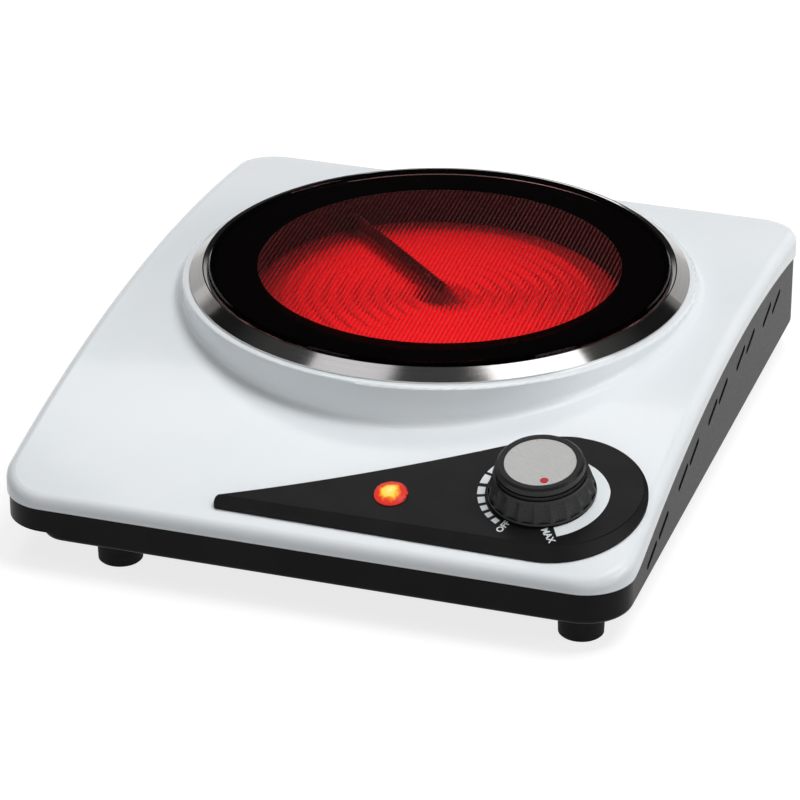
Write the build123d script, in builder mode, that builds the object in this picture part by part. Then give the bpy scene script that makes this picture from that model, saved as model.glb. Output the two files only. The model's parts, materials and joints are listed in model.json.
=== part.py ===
# Portable hot plate: one radiant ring under a round ceramic glass, in an arched housing
# with a control panel, a turning knob and a pilot lamp at its front edge.
# Millimetres. X to the right, Y to the back, Z up. The origin is on the floor,
# under the middle of the whole appliance.

import math
import os

from build123d import *

os.makedirs("parts", exist_ok=True)

# Housing seen from above
WIDTH = 240.0
DEPTH = 282.0
CORNER_FRONT = 19.0
CORNER_REAR = 18.0
GLAND_PROUD = 2.0
BODY_Y = -GLAND_PROUD / 2
FRONT_Y = BODY_Y - DEPTH / 2
REAR_Y = BODY_Y + DEPTH / 2

# Arched top of the cover, and the arched seam between the cover and the pan
ARCH_RADIUS = 670.0
CREST_BACK = 47.5
CREST_Y = BODY_Y + CREST_BACK
CREST_Z = 55.9
SEAM_RADIUS = 530.0
SEAM_CREST_BACK = 40.5
SEAM_CREST_Y = BODY_Y + SEAM_CREST_BACK
SEAM_CREST_Z = 48.2
SEAM_FRONT_Z = 24.0
SEAM_BLEND = 60.0
COVER_WALL = 1.2
EDGE_ROUND = 4.0

# Glass, its trim ring and the collar that carries them
RING_BACK = 25.5
RING_Y = BODY_Y + RING_BACK
GLASS_TOP = 66.0
GLASS_RADIUS = 90.0
GLASS_THICK = 4.0
GLASS_BEVEL = 0.5
SEAL_THICK = 0.6
SEAL_WIDTH = 2.6
RING_RADIUS = 97.5
RING_CREST_RADIUS = 92.2
RING_CREST_DROP = 1.0
RING_CREST_FLAT = 0.5
RING_LIP_DROP = 0.6
RING_FOOT = 0.7
RING_SHEET = 0.8
RING_SHELF = 3.0
GLASS_PLAY = 0.3
COLLAR_LIP = 3.0
COLLAR_FOOT_ROUND = 3.0
COLLAR_TOP_ROUND = 1.0
OPENING_PLAY = 0.5

# Pan under the cover
PAN_INSET = 0.8
PAN_WALL = 2.5
PAN_FLOOR = 2.5
FOOT_HEIGHT = 11.2
FIELD_STEP = 3.2
FIELD_LEFT_INSET = 16.2
FIELD_CORNER = 10.0
PAN_BOTTOM_ROUND = 2.0
SEAM_GAP = 0.4
TONGUE_PLAY = 0.3
TONGUE_RISE = 1.5

# Vents in the pan's side walls and its floor
VENT_PAIRS = 5
VENT_PAIR_PITCH = 43.8
VENT_PAIR_STAGGER = 16.0
VENT_REAR_BACK = 61.5
VENT_REAR_Y = RING_Y + VENT_REAR_BACK
VENT_DROP = 11.0
VENT_LENGTH = 14.0
VENT_HEIGHT = 2.6
VENT_LEAN = 18.0
FLOOR_VENTS = 7
FLOOR_VENT_LENGTH = 46.0
FLOOR_VENT_WIDTH = 4.0
FLOOR_VENT_PITCH = 13.0
FLOOR_VENT_SPREAD = 62.0

# Feet and screws
FOOT_LEFT_INSET = 44.0
FOOT_RIGHT_INSET = 19.0
FOOT_FRONT_INSET = 16.5
FOOT_REAR_INSET = 23.0
FOOT_LEFT_X = -WIDTH / 2 + FOOT_LEFT_INSET
FOOT_RIGHT_X = WIDTH / 2 - FOOT_RIGHT_INSET
FOOT_FRONT_Y = FRONT_Y + FOOT_FRONT_INSET
FOOT_REAR_Y = REAR_Y - FOOT_REAR_INSET
FOOT_RADIUS = 8.7
FOOT_TAPER = 0.4
FOOT_RECESS_RADIUS = 4.2
FOOT_RECESS_DEPTH = 5.0
SCREW_RADIUS = 1.5
SCREW_PLAY = 0.1
SCREW_HEAD_RADIUS = 3.0
SCREW_HEAD_HEIGHT = 2.2
SCREW_BITE = 8.0
BOSS_RADIUS = 4.5
BOSS_RISE = 9.0
COVER_POST_INSET = 14.0
COVER_POST_FRONT_INSET = 43.0
COVER_POST_REAR_INSET = 51.0
COVER_POST_X = WIDTH / 2 - COVER_POST_INSET
COVER_POST_FRONT_Y = FRONT_Y + COVER_POST_FRONT_INSET
COVER_POST_REAR_Y = REAR_Y - COVER_POST_REAR_INSET
COVER_POST_RADIUS = 3.6
COVER_POST_END_Z = 26.0

# Radiant heater under the glass
HEATER_RADIUS = 82.0
HEATER_WALL = 1.0
HEATER_DEPTH = 25.0
DISH_WALL_DROP = 4.5
ZONE_RADIUS = 71.0
BASE_BOARD_THICK = 8.5
BOARD_PLAY = 0.2
GLASS_GAP = 0.1
COIL_WIRE_RADIUS = 1.6
COIL_PITCH = 6.0
COIL_INNER_RADIUS = 10.0
COIL_HALF_TURNS = 18
COIL_TAIL = 2 * COIL_WIRE_RADIUS
COIL_SAMPLES = 720
LIMITER_ANGLE = 135.5
LIMITER_RADIUS = 2.2
LIMITER_PAST_CENTRE = 3.0
LIMITER_GAP = 0.4
LIMITER_PLAY = 0.4
SWITCH_LENGTH = 13.0
SWITCH_WIDTH = 20.0
SWITCH_HEIGHT = 14.0
SWITCH_DROP = 1.2
TERMINAL_ANGLE = -48.0
TERMINAL_LENGTH = 12.0
TERMINAL_WIDTH = 26.0
TERMINAL_HEIGHT = 12.0
BRACKET_WIDTH = 20.0
BRACKET_THICK = 1.5
BRACKET_REACH = 14.0
BRACKET_POST_X = HEATER_RADIUS + BRACKET_REACH
BRACKET_POST_RADIUS = 6.0
BRACKET_END = 9.0

# Control panel on the sloping front of the cover
PANEL_PLAY = 0.15
PANEL_RISE = 2.5
PANEL_END_RADIUS = 32.5
PANEL_SIDE_INSET = 2.3
PANEL_FRONT_INSET = 6.5
PANEL_FRONT_RISE = 1.6
PANEL_REACH = 121.2
PANEL_END_X = WIDTH / 2 - PANEL_SIDE_INSET - PANEL_END_RADIUS
PANEL_END_Y = FRONT_Y + PANEL_FRONT_INSET + PANEL_END_RADIUS
PANEL_TIP_X = PANEL_END_X - PANEL_REACH
PANEL_TIP_HEIGHT = 3.8
PANEL_TIP_ROUND = 1.7
PANEL_TANGENT_LEAN = 36.0
PANEL_SAG = 3.0
PANEL_BEVEL_WIDTH = 6.5
PANEL_BEVEL_DEPTH = 2.2
PEG_FROM_TIP = 32.0
PEG_FROM_FRONT = 9.5
PEG_RADIUS = 1.6
PEG_LENGTH = 5.0
PEG_PLAY = 0.3
CLIP_RADIUS = 5.0
CLIP_THICK = 0.8
CLIP_PLAY = 0.05

# Knob, its shaft and the power regulator
KNOB_INWARD = 5.8
KNOB_X = PANEL_END_X - KNOB_INWARD
KNOB_Y = PANEL_END_Y
KNOB_LIFT = 0.8
KNOB_HEIGHT = 14.5
KNOB_SKIRT_RADIUS = 19.8
KNOB_SKIRT_HEIGHT = 10.0
KNOB_WAIST_RADIUS = 17.2
KNOB_COLLAR_RADIUS = 16.4
KNOB_RIM_RADIUS = 15.9
KNOB_HOLLOW_RADIUS = 14.2
KNOB_ROOF = 2.0
KNOB_BOSS_RADIUS = 5.6
KNOB_BOSS_LIFT = 4.0
KNOB_FLUTES = 20
KNOB_FLUTE_RADIUS = 5.0
KNOB_FLUTE_DEPTH = 0.7
KNOB_BASE = 2.0
KNOB_GROOVE_HEIGHT = 11.3
KNOB_GROOVE_WIDTH = 0.8
KNOB_GROOVE_DEPTH = 0.6
KNOB_RIM_BEVEL = 0.8
DISC_RADIUS = 13.2
DISC_THICK = 0.8
DISC_RECESS = 1.1
DISC_PLAY = 0.05
SHAFT_RADIUS = 3.0
SHAFT_FLAT = 1.2
SHAFT_PLAY = 0.05
SHAFT_TOP = 10.0
BUSH_RADIUS = 4.7
BUSH_PLAY = 0.3
BUSH_TOP = 3.4
NUT_WIDTH = 12.0
NUT_THICK = 2.4
NUT_PLAY = 0.05
REGULATOR_WIDTH = 32.0
REGULATOR_LENGTH = 30.0
REGULATOR_HEIGHT = 15.0
REGULATOR_PLAY = 0.5
REGULATOR_ROUND = 2.0
SHAFT_SEAT = 6.0
TAB_COUNT = 4
TAB_PITCH = 7.0
TAB_WIDTH = 4.8
TAB_THICK = 0.8
TAB_LENGTH = 8.0
TAB_DROP = 8.0

# Pilot lamp
LAMP_INWARD = 58.8
LAMP_FORWARD = 12.7
LAMP_X = PANEL_END_X - LAMP_INWARD
LAMP_Y = PANEL_END_Y - LAMP_FORWARD
LENS_RADIUS = 6.2
LENS_FLANGE = 0.8
LENS_DOME = 1.6
LENS_FULLNESS = 0.76
LENS_NECK_RADIUS = 4.8
LENS_WALL = 1.0
LENS_NECK_DEPTH = 6.0
LAMP_BODY_RADIUS = 4.8
LAMP_BODY_LENGTH = 9.0
LAMP_HOLE_PLAY = 0.3
BULB_RADIUS = 2.6
BULB_PLAY = 0.6

# Mains connection at the back
GLAND_X = -WIDTH / 4
GLAND_Z = 25.0
GLAND_BORE_RADIUS = 3.6
GLAND_NECK_RADIUS = 5.4
GLAND_FLANGE_RADIUS = 8.5
GLAND_HOLE_PLAY = 0.1
GLAND_INNER = 7.0
GLAND_NUT_WIDTH = 15.0
GLAND_NUT_THICK = 3.0
BLOCK_SIDE_STEP = 32.0
BLOCK_REAR_INSET = 46.0
BLOCK_X = GLAND_X + BLOCK_SIDE_STEP
BLOCK_Y = REAR_Y - BLOCK_REAR_INSET
BLOCK_WIDTH = 34.0
BLOCK_DEPTH = 16.0
BLOCK_HEIGHT = 14.0
BLOCK_POLES = 3
BLOCK_POLE_PITCH = 11.0
BLOCK_SCREW_RADIUS = 1.8
BLOCK_SCREW_DEPTH = 6.0
LEAD_RADIUS = 1.3
LEAD_BEND = 14.0
LEAD_GAP = 0.05
LEAD_TAIL = 18.0

# Heights that follow from the sizes above
FIELD_BOTTOM = FOOT_HEIGHT
RIM_BOTTOM = FIELD_BOTTOM + FIELD_STEP
FLOOR_TOP = RIM_BOTTOM + PAN_FLOOR
FIELD_TOP = FIELD_BOTTOM + PAN_FLOOR
FIELD_LEFT_X = FIELD_LEFT_INSET + PAN_INSET - WIDTH / 2
GLASS_BOTTOM = GLASS_TOP - GLASS_THICK
SHELF_TOP = GLASS_BOTTOM - SEAL_THICK
COLLAR_TOP = SHELF_TOP - RING_SHEET
COLLAR_RADIUS = RING_RADIUS + COLLAR_LIP
RING_WALL_RADIUS = GLASS_RADIUS + GLASS_PLAY
RING_CREST_TOP = GLASS_TOP - RING_CREST_DROP
RING_HOLE_RADIUS = RING_WALL_RADIUS - RING_SHELF
RIM_BOARD_TOP = GLASS_BOTTOM - GLASS_GAP
DISH_BOTTOM = RIM_BOARD_TOP - HEATER_DEPTH
BASE_BOARD_BOTTOM = DISH_BOTTOM + HEATER_WALL
BASE_BOARD_TOP = BASE_BOARD_BOTTOM + BASE_BOARD_THICK
PANEL_FRONT_Y = PANEL_END_Y - PANEL_END_RADIUS
PANEL_TOP = PANEL_PLAY + PANEL_RISE
PAN_INNER = PAN_INSET + PAN_WALL


def on_arch(x, y, lift):
    """A plane that lies on the cover's arch over a point, raised square to it."""
    lean = math.asin((y - CREST_Y) / ARCH_RADIUS)
    reach = ARCH_RADIUS + lift
    spot = (x, CREST_Y + reach * math.sin(lean), CREST_Z - ARCH_RADIUS + reach * math.cos(lean))
    return Plane(origin=spot, x_dir=(1, 0, 0), z_dir=(0, math.sin(lean), math.cos(lean)))


def upright(seat):
    """The plane through a seat's axis, for profiles drawn as radius and height."""
    return Plane(origin=seat.origin, x_dir=seat.x_dir, z_dir=-seat.y_dir)


def turned(seat, profile):
    """A solid turned about a seat's axis from a closed profile of radius and height."""
    with BuildPart() as solid:
        with BuildSketch(upright(seat)):
            with BuildLine():
                Polyline(*profile, close=True)
            make_face()
        revolve(axis=Axis(seat.origin, seat.z_dir))
    return solid.part


def plan_outline(inset, height):
    """The housing's outline from above, drawn in by an inset."""
    with BuildSketch(Plane.XY.offset(height)) as outline:
        with Locations((0, BODY_Y)):
            Rectangle(WIDTH - 2 * inset, DEPTH - 2 * inset)
        fillet(outline.vertices().group_by(Axis.Y)[0], radius=CORNER_FRONT - inset)
        fillet(outline.vertices().group_by(Axis.Y)[-1], radius=CORNER_REAR - inset)
    return outline.sketch


def field_outline(inset, height):
    """The pan's lowered floor, flush with the outline except along the left, drawn in by an inset."""
    with BuildSketch(Plane.XY.offset(height)) as outline:
        with Locations((FIELD_LEFT_INSET / 2, BODY_Y)):
            Rectangle(WIDTH - FIELD_LEFT_INSET - 2 * inset, DEPTH - 2 * inset)
        fillet(outline.vertices().group_by(Axis.X)[0], radius=FIELD_CORNER)
        fillet(outline.vertices().group_by(Axis.X)[-1].sort_by(Axis.Y)[0], radius=CORNER_FRONT - inset)
        fillet(outline.vertices().group_by(Axis.X)[-1].sort_by(Axis.Y)[-1], radius=CORNER_REAR - inset)
    return outline.sketch


def arch_z(y, radius, crest_y, crest_z):
    """The height of an arch over a point."""
    return crest_z - radius + math.sqrt(radius**2 - (y - crest_y) ** 2)


def under_arch(lift):
    """The side view of everything under the cover's arch, raised square to it."""
    radius = ARCH_RADIUS + lift
    top = CREST_Z + lift
    front, rear = FRONT_Y - DEPTH / 4, REAR_Y + DEPTH / 4
    with BuildSketch(Plane.YZ) as region:
        with BuildLine():
            ThreePointArc(
                (front, arch_z(front, radius, CREST_Y, top)),
                (CREST_Y, top),
                (rear, arch_z(rear, radius, CREST_Y, top)),
            )
            Polyline(
                (rear, arch_z(rear, radius, CREST_Y, top)),
                (rear, -GLASS_TOP),
                (front, -GLASS_TOP),
                (front, arch_z(front, radius, CREST_Y, top)),
            )
        make_face()
    return region.sketch


def under_seam(lift):
    """The side view of everything under the seam, raised by a lift."""
    top = SEAM_CREST_Z + lift
    low = SEAM_FRONT_Z + lift
    meet = SEAM_CREST_Y - math.sqrt(SEAM_RADIUS**2 - (SEAM_RADIUS - top + low) ** 2)
    front, rear = FRONT_Y - DEPTH / 4, REAR_Y + DEPTH / 4
    rear_z = arch_z(rear, SEAM_RADIUS, SEAM_CREST_Y, top)
    with BuildSketch(Plane.YZ) as region:
        with BuildLine():
            ThreePointArc((meet, low), (SEAM_CREST_Y, top), (rear, rear_z))
            Polyline((rear, rear_z), (rear, -GLASS_TOP), (front, -GLASS_TOP), (front, low), (meet, low))
        make_face()
        bend = region.vertices().sort_by_distance(Vector(0, meet, low))[0]
        fillet(bend, radius=SEAM_BLEND)
    return region.sketch


def cover_form(inset):
    """The cover as a full block with its collar, drawn in by an inset."""
    with BuildPart() as form:
        extrude(plan_outline(inset, 0), amount=GLASS_TOP)
        extrude(under_arch(-inset), amount=WIDTH, both=True, mode=Mode.INTERSECT)
        crown = form.faces().sort_by(Axis.Z)[-1]
        fillet(crown.outer_wire().edges(), radius=EDGE_ROUND - inset)
        with Locations((0, RING_Y, 0)):
            Cylinder(COLLAR_RADIUS - inset, COLLAR_TOP - inset, align=UP)
        if inset == 0:
            seam = form.edges(Select.LAST).filter_by(GeomType.CIRCLE, reverse=True)
            fillet(seam.filter_by(GeomType.LINE, reverse=True), radius=COLLAR_FOOT_ROUND)
            fillet(form.faces().sort_by(Axis.Z)[-1].edges(), radius=COLLAR_TOP_ROUND)
    return form.part


RING_SEAT = Plane(origin=(0, RING_Y, 0), x_dir=(1, 0, 0), z_dir=(0, 0, 1))
KNOB_SEAT = on_arch(KNOB_X, KNOB_Y, PANEL_TOP)
LAMP_SEAT = on_arch(LAMP_X, LAMP_Y, PANEL_TOP)
FOOT_SPOTS = {
    "foot_front_left": (FOOT_LEFT_X, FOOT_FRONT_Y),
    "foot_front_right": (FOOT_RIGHT_X, FOOT_FRONT_Y),
    "foot_rear_left": (FOOT_LEFT_X, FOOT_REAR_Y),
    "foot_rear_right": (FOOT_RIGHT_X, FOOT_REAR_Y),
}
COVER_POSTS = [
    (side * COVER_POST_X, y) for side in (-1, 1) for y in (COVER_POST_FRONT_Y, COVER_POST_REAR_Y)
]
BRACKET_POSTS = [(-BRACKET_POST_X, RING_Y), (BRACKET_POST_X, RING_Y)]
PEG_SPOTS = [
    (PANEL_TIP_X + PEG_FROM_TIP, PANEL_FRONT_Y + PEG_FROM_FRONT),
    (PANEL_END_X - PEG_FROM_TIP, PANEL_FRONT_Y + PEG_FROM_FRONT),
    (PANEL_END_X, PANEL_END_Y + PANEL_END_RADIUS - PEG_FROM_FRONT),
]
PEG_SEATS = [on_arch(x, y, PANEL_PLAY + PANEL_RISE / 2) for x, y in PEG_SPOTS]
UP = (Align.CENTER, Align.CENTER, Align.MIN)
DOWN = (Align.CENTER, Align.CENTER, Align.MAX)
OUT = (Align.MIN, Align.CENTER, Align.CENTER)

# Control panel outline: a round end, a straight front edge and a long hollow back edge
TANGENT = math.radians(PANEL_TANGENT_LEAN)
PANEL_JOIN = (
    PANEL_END_X - PANEL_END_RADIUS * math.sin(TANGENT),
    PANEL_END_Y + PANEL_END_RADIUS * math.cos(TANGENT),
)
PANEL_TIP_FRONT = (PANEL_TIP_X, PANEL_FRONT_Y + PANEL_FRONT_RISE)
PANEL_TIP = (PANEL_TIP_X, PANEL_FRONT_Y + PANEL_FRONT_RISE + PANEL_TIP_HEIGHT)
PANEL_MIDDLE = (
    (PANEL_JOIN[0] + PANEL_TIP[0]) / 2 + PANEL_SAG * math.sin(TANGENT),
    (PANEL_JOIN[1] + PANEL_TIP[1]) / 2 - PANEL_SAG * math.cos(TANGENT),
)
with BuildSketch() as panel_outline:
    with BuildLine():
        ThreePointArc(PANEL_TIP, PANEL_MIDDLE, PANEL_JOIN)
        ThreePointArc(
            PANEL_JOIN,
            (
                PANEL_END_X + PANEL_END_RADIUS * math.cos(TANGENT),
                PANEL_END_Y + PANEL_END_RADIUS * math.sin(TANGENT),
            ),
            (PANEL_END_X, PANEL_FRONT_Y),
        )
        Polyline((PANEL_END_X, PANEL_FRONT_Y), PANEL_TIP_FRONT, PANEL_TIP)
    make_face()
    fillet(panel_outline.vertices().group_by(Axis.X)[0], radius=PANEL_TIP_ROUND)

# Sloping edge of the panel: flat along the front and conical around the end, where it runs out
BEVEL_FRONT = on_arch(PANEL_END_X, PANEL_FRONT_Y + PANEL_BEVEL_WIDTH, PANEL_TOP).origin
BEVEL_BACK = on_arch(PANEL_END_X, PANEL_END_Y + PANEL_END_RADIUS, PANEL_TOP).origin
BEVEL_RADIUS = (BEVEL_BACK - BEVEL_FRONT).length / 2
BEVEL_SEAT = Plane(
    origin=(BEVEL_FRONT + BEVEL_BACK) / 2,
    x_dir=(1, 0, 0),
    z_dir=(0, BEVEL_FRONT.Z - BEVEL_BACK.Z, BEVEL_BACK.Y - BEVEL_FRONT.Y),
)
BEVEL_PROFILE = [
    (BEVEL_RADIUS, 0),
    (BEVEL_RADIUS + 2 * PANEL_BEVEL_WIDTH, -2 * PANEL_BEVEL_DEPTH),
    (BEVEL_RADIUS + 2 * PANEL_BEVEL_WIDTH, 2 * PANEL_BEVEL_DEPTH),
    (BEVEL_RADIUS, 2 * PANEL_BEVEL_DEPTH),
]
with BuildPart() as bevel_cut:
    front = Plane(origin=BEVEL_SEAT.origin, x_dir=-BEVEL_SEAT.y_dir, z_dir=-BEVEL_SEAT.x_dir)
    with BuildSketch(front) as bevel_side:
        with BuildLine():
            Polyline(*BEVEL_PROFILE, close=True)
        make_face()
    extrude(amount=WIDTH)
    revolve(bevel_side.sketch, axis=Axis(BEVEL_SEAT.origin, BEVEL_SEAT.z_dir), revolution_arc=180)

with BuildPart() as control_panel:
    extrude(panel_outline.sketch, amount=GLASS_TOP)
    extrude(under_arch(PANEL_TOP), amount=WIDTH, both=True, mode=Mode.INTERSECT)
    extrude(under_arch(PANEL_PLAY), amount=WIDTH, both=True, mode=Mode.SUBTRACT)
    add(bevel_cut.part, mode=Mode.SUBTRACT)
    for seat in PEG_SEATS:
        with Locations(seat.location):
            Cylinder(PEG_RADIUS, PEG_LENGTH + PANEL_RISE / 2, align=DOWN)
    with Locations(KNOB_SEAT.location):
        Cylinder(BUSH_RADIUS + BUSH_PLAY, 4 * PANEL_TOP, mode=Mode.SUBTRACT)
    with Locations(LAMP_SEAT.location):
        Cylinder(LENS_NECK_RADIUS + LAMP_HOLE_PLAY, 4 * PANEL_TOP, mode=Mode.SUBTRACT)

# Push-on clips that hold the panel's pegs under the cover
with BuildPart() as panel_clips:
    for seat in PEG_SEATS:
        with Locations(seat.location * Pos(0, 0, -PANEL_TOP - COVER_WALL - CLIP_PLAY)):
            Cylinder(CLIP_RADIUS, CLIP_THICK, align=DOWN)
            Cylinder(PEG_RADIUS + CLIP_PLAY, 2 * CLIP_THICK, align=DOWN, mode=Mode.SUBTRACT)

# Cover: an arched sheet with a collar for the ring, welded posts and holes for the controls
cover_outside = cover_form(0)
cover_inside = cover_form(COVER_WALL)
cover_middle = cover_form(COVER_WALL / 2)

with BuildPart() as cover_posts:
    with Locations(*[(x, y, COVER_POST_END_Z) for x, y in COVER_POSTS]):
        Cylinder(COVER_POST_RADIUS, GLASS_TOP, align=UP)
    add(cover_middle, mode=Mode.INTERSECT)
    with Locations(*[(x, y, COVER_POST_END_Z) for x, y in COVER_POSTS]):
        Cylinder(SCREW_RADIUS + SCREW_PLAY, SCREW_BITE, align=UP, mode=Mode.SUBTRACT)

with BuildPart() as top_cover:
    add(cover_outside)
    extrude(under_seam(0), amount=WIDTH, both=True, mode=Mode.SUBTRACT)
    add(cover_inside, mode=Mode.SUBTRACT)
    with Locations((0, RING_Y, 0)):
        Cylinder(RING_HOLE_RADIUS - OPENING_PLAY, GLASS_TOP, align=UP, mode=Mode.SUBTRACT)
    add(cover_posts.part)
    with Locations(KNOB_SEAT.location):
        Cylinder(BUSH_RADIUS + BUSH_PLAY, 8 * PANEL_TOP, mode=Mode.SUBTRACT)
    with Locations(LAMP_SEAT.location):
        Cylinder(LENS_NECK_RADIUS + LAMP_HOLE_PLAY, 8 * PANEL_TOP, mode=Mode.SUBTRACT)
    for seat in PEG_SEATS:
        with Locations(seat.location):
            Cylinder(PEG_RADIUS + PEG_PLAY, 8 * PANEL_TOP, mode=Mode.SUBTRACT)

# Pan: a moulded tray whose rim follows the seam and whose tongue stands inside the cover
with BuildPart() as pan_tongue:
    extrude(plan_outline(COVER_WALL + TONGUE_PLAY, RIM_BOTTOM + PAN_FLOOR), amount=GLASS_TOP)
    extrude(under_seam(TONGUE_RISE), amount=WIDTH, both=True, mode=Mode.INTERSECT)

with BuildPart() as base_pan:
    extrude(plan_outline(PAN_INSET, RIM_BOTTOM), amount=GLASS_TOP)
    extrude(under_seam(-SEAM_GAP), amount=WIDTH, both=True, mode=Mode.INTERSECT)
    extrude(field_outline(PAN_INSET, FIELD_BOTTOM), amount=FIELD_STEP)
    fillet(base_pan.faces().sort_by(Axis.Z)[0].edges(), radius=PAN_BOTTOM_ROUND)
    add(pan_tongue.part)
    extrude(plan_outline(PAN_INNER, FLOOR_TOP), amount=GLASS_TOP, mode=Mode.SUBTRACT)
    extrude(field_outline(PAN_INNER, FIELD_TOP), amount=GLASS_TOP, mode=Mode.SUBTRACT)
    with Locations(*[(x, y, FIELD_BOTTOM) for x, y in FOOT_SPOTS.values()]):
        Cylinder(FOOT_RADIUS, FLOOR_TOP - FIELD_BOTTOM, align=UP)
        Cylinder(BOSS_RADIUS, FLOOR_TOP + BOSS_RISE - FIELD_BOTTOM, align=UP)
        Cylinder(SCREW_RADIUS + SCREW_PLAY, SCREW_BITE + SCREW_PLAY, align=UP, mode=Mode.SUBTRACT)
    with Locations(*[(x, y, FIELD_TOP) for x, y in BRACKET_POSTS]):
        Cylinder(BRACKET_POST_RADIUS, DISH_BOTTOM - BRACKET_THICK - FIELD_TOP, align=UP)
    with Locations(*[(x, y, DISH_BOTTOM - BRACKET_THICK) for x, y in BRACKET_POSTS]):
        Cylinder(SCREW_RADIUS + SCREW_PLAY, SCREW_BITE, align=DOWN, mode=Mode.SUBTRACT)
    for x, y in COVER_POSTS:
        floor = FIELD_BOTTOM if x > FIELD_LEFT_X else RIM_BOTTOM
        with Locations((x, y, floor)):
            Cylinder(BOSS_RADIUS, COVER_POST_END_Z - floor, align=UP)
    with Locations(*[(x, y, RIM_BOTTOM) for x, y in COVER_POSTS]):
        Cylinder(SCREW_RADIUS + SCREW_PLAY, GLASS_TOP, align=UP, mode=Mode.SUBTRACT)
    with Locations(*[(x, y, COVER_POST_END_Z - PAN_FLOOR) for x, y in COVER_POSTS]):
        Cylinder(SCREW_HEAD_RADIUS + SCREW_PLAY, GLASS_TOP, align=DOWN, mode=Mode.SUBTRACT)
    for pair in range(VENT_PAIRS):
        for end in (-1, 1):
            vent_y = VENT_REAR_Y - pair * VENT_PAIR_PITCH + end * VENT_PAIR_STAGGER / 2
            vent_z = arch_z(vent_y, SEAM_RADIUS, SEAM_CREST_Y, SEAM_CREST_Z) - VENT_DROP
            for side in (-1, 1):
                with BuildSketch(Plane.YZ.offset(side * (WIDTH / 2 - PAN_INSET - PAN_WALL / 2))):
                    with Locations((vent_y, vent_z)):
                        SlotOverall(VENT_LENGTH, VENT_HEIGHT, rotation=VENT_LEAN)
                extrude(amount=PAN_WALL, both=True, mode=Mode.SUBTRACT)
    with BuildSketch(Plane.XY.offset(FIELD_BOTTOM)):
        with Locations((0, RING_Y)):
            with GridLocations(FLOOR_VENT_SPREAD, FLOOR_VENT_PITCH, 2, FLOOR_VENTS):
                SlotOverall(FLOOR_VENT_LENGTH, FLOOR_VENT_WIDTH)
    extrude(amount=PAN_FLOOR, mode=Mode.SUBTRACT)
    with Locations(Plane(origin=(GLAND_X, REAR_Y, GLAND_Z), z_dir=(0, 1, 0)).location):
        Cylinder(GLAND_NECK_RADIUS + GLAND_HOLE_PLAY, 4 * PAN_INNER, mode=Mode.SUBTRACT)

# Round trim ring, its seal and the glass
trim_ring = turned(
    RING_SEAT,
    [
        (RING_HOLE_RADIUS, COLLAR_TOP),
        (RING_RADIUS, COLLAR_TOP),
        (RING_RADIUS, COLLAR_TOP + RING_FOOT),
        (RING_CREST_RADIUS + RING_CREST_FLAT / 2, RING_CREST_TOP),
        (RING_CREST_RADIUS - RING_CREST_FLAT / 2, RING_CREST_TOP),
        (RING_WALL_RADIUS, RING_CREST_TOP - RING_LIP_DROP),
        (RING_WALL_RADIUS, SHELF_TOP),
        (RING_HOLE_RADIUS, SHELF_TOP),
    ],
)
glass_seal = turned(
    RING_SEAT,
    [
        (RING_HOLE_RADIUS, SHELF_TOP),
        (RING_HOLE_RADIUS + SEAL_WIDTH, SHELF_TOP),
        (RING_HOLE_RADIUS + SEAL_WIDTH, GLASS_BOTTOM),
        (RING_HOLE_RADIUS, GLASS_BOTTOM),
    ],
)
with BuildPart() as glass_plate:
    with Locations((0, RING_Y, GLASS_BOTTOM)):
        Cylinder(GLASS_RADIUS, GLASS_THICK, align=UP)
    chamfer(glass_plate.edges().sort_by(Axis.Z)[-1], length=GLASS_BEVEL)

# Radiant heater: a sheet dish, two insulating boards and a wound coil
BOARD_RADIUS = HEATER_RADIUS - HEATER_WALL - BOARD_PLAY
DISH_TOP = RIM_BOARD_TOP - DISH_WALL_DROP
COIL_Z = BASE_BOARD_TOP + COIL_WIRE_RADIUS + GLASS_GAP
LIMITER_Z = COIL_Z + COIL_WIRE_RADIUS + LIMITER_GAP + LIMITER_RADIUS
LIMITER_WAY = Plane(
    origin=(0, RING_Y, LIMITER_Z),
    x_dir=(math.cos(math.radians(LIMITER_ANGLE)), math.sin(math.radians(LIMITER_ANGLE)), 0),
    z_dir=(0, 0, 1),
)
LIMITER_AXIS = Plane(origin=LIMITER_WAY.origin, z_dir=LIMITER_WAY.x_dir)
TERMINAL_WAY = Plane(
    origin=(0, RING_Y, BASE_BOARD_TOP),
    x_dir=(math.cos(math.radians(TERMINAL_ANGLE)), math.sin(math.radians(TERMINAL_ANGLE)), 0),
    z_dir=(0, 0, 1),
)

with BuildPart() as heater_dish:
    with Locations((0, RING_Y, DISH_BOTTOM)):
        Cylinder(HEATER_RADIUS, DISH_TOP - DISH_BOTTOM, align=UP)
    with Locations((0, RING_Y, BASE_BOARD_BOTTOM)):
        Cylinder(HEATER_RADIUS - HEATER_WALL, GLASS_TOP, align=UP, mode=Mode.SUBTRACT)
    with Locations(LIMITER_AXIS.location):
        Cylinder(LIMITER_RADIUS + LIMITER_PLAY, 2 * HEATER_RADIUS, align=UP, mode=Mode.SUBTRACT)

with BuildPart() as heater_base_board:
    with Locations((0, RING_Y, BASE_BOARD_BOTTOM)):
        Cylinder(BOARD_RADIUS, BASE_BOARD_THICK, align=UP)

with BuildPart() as heater_rim_board:
    with Locations((0, RING_Y, BASE_BOARD_TOP)):
        Cylinder(BOARD_RADIUS, RIM_BOARD_TOP - BASE_BOARD_TOP, align=UP)
        Cylinder(ZONE_RADIUS, GLASS_TOP, align=UP, mode=Mode.SUBTRACT)
    with Locations(LIMITER_AXIS.location):
        Cylinder(LIMITER_RADIUS + LIMITER_PLAY, 2 * HEATER_RADIUS, align=UP, mode=Mode.SUBTRACT)

# The coil winds outwards in half turns whose centres step from side to side
COIL_STEP = COIL_PITCH / 2


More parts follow.
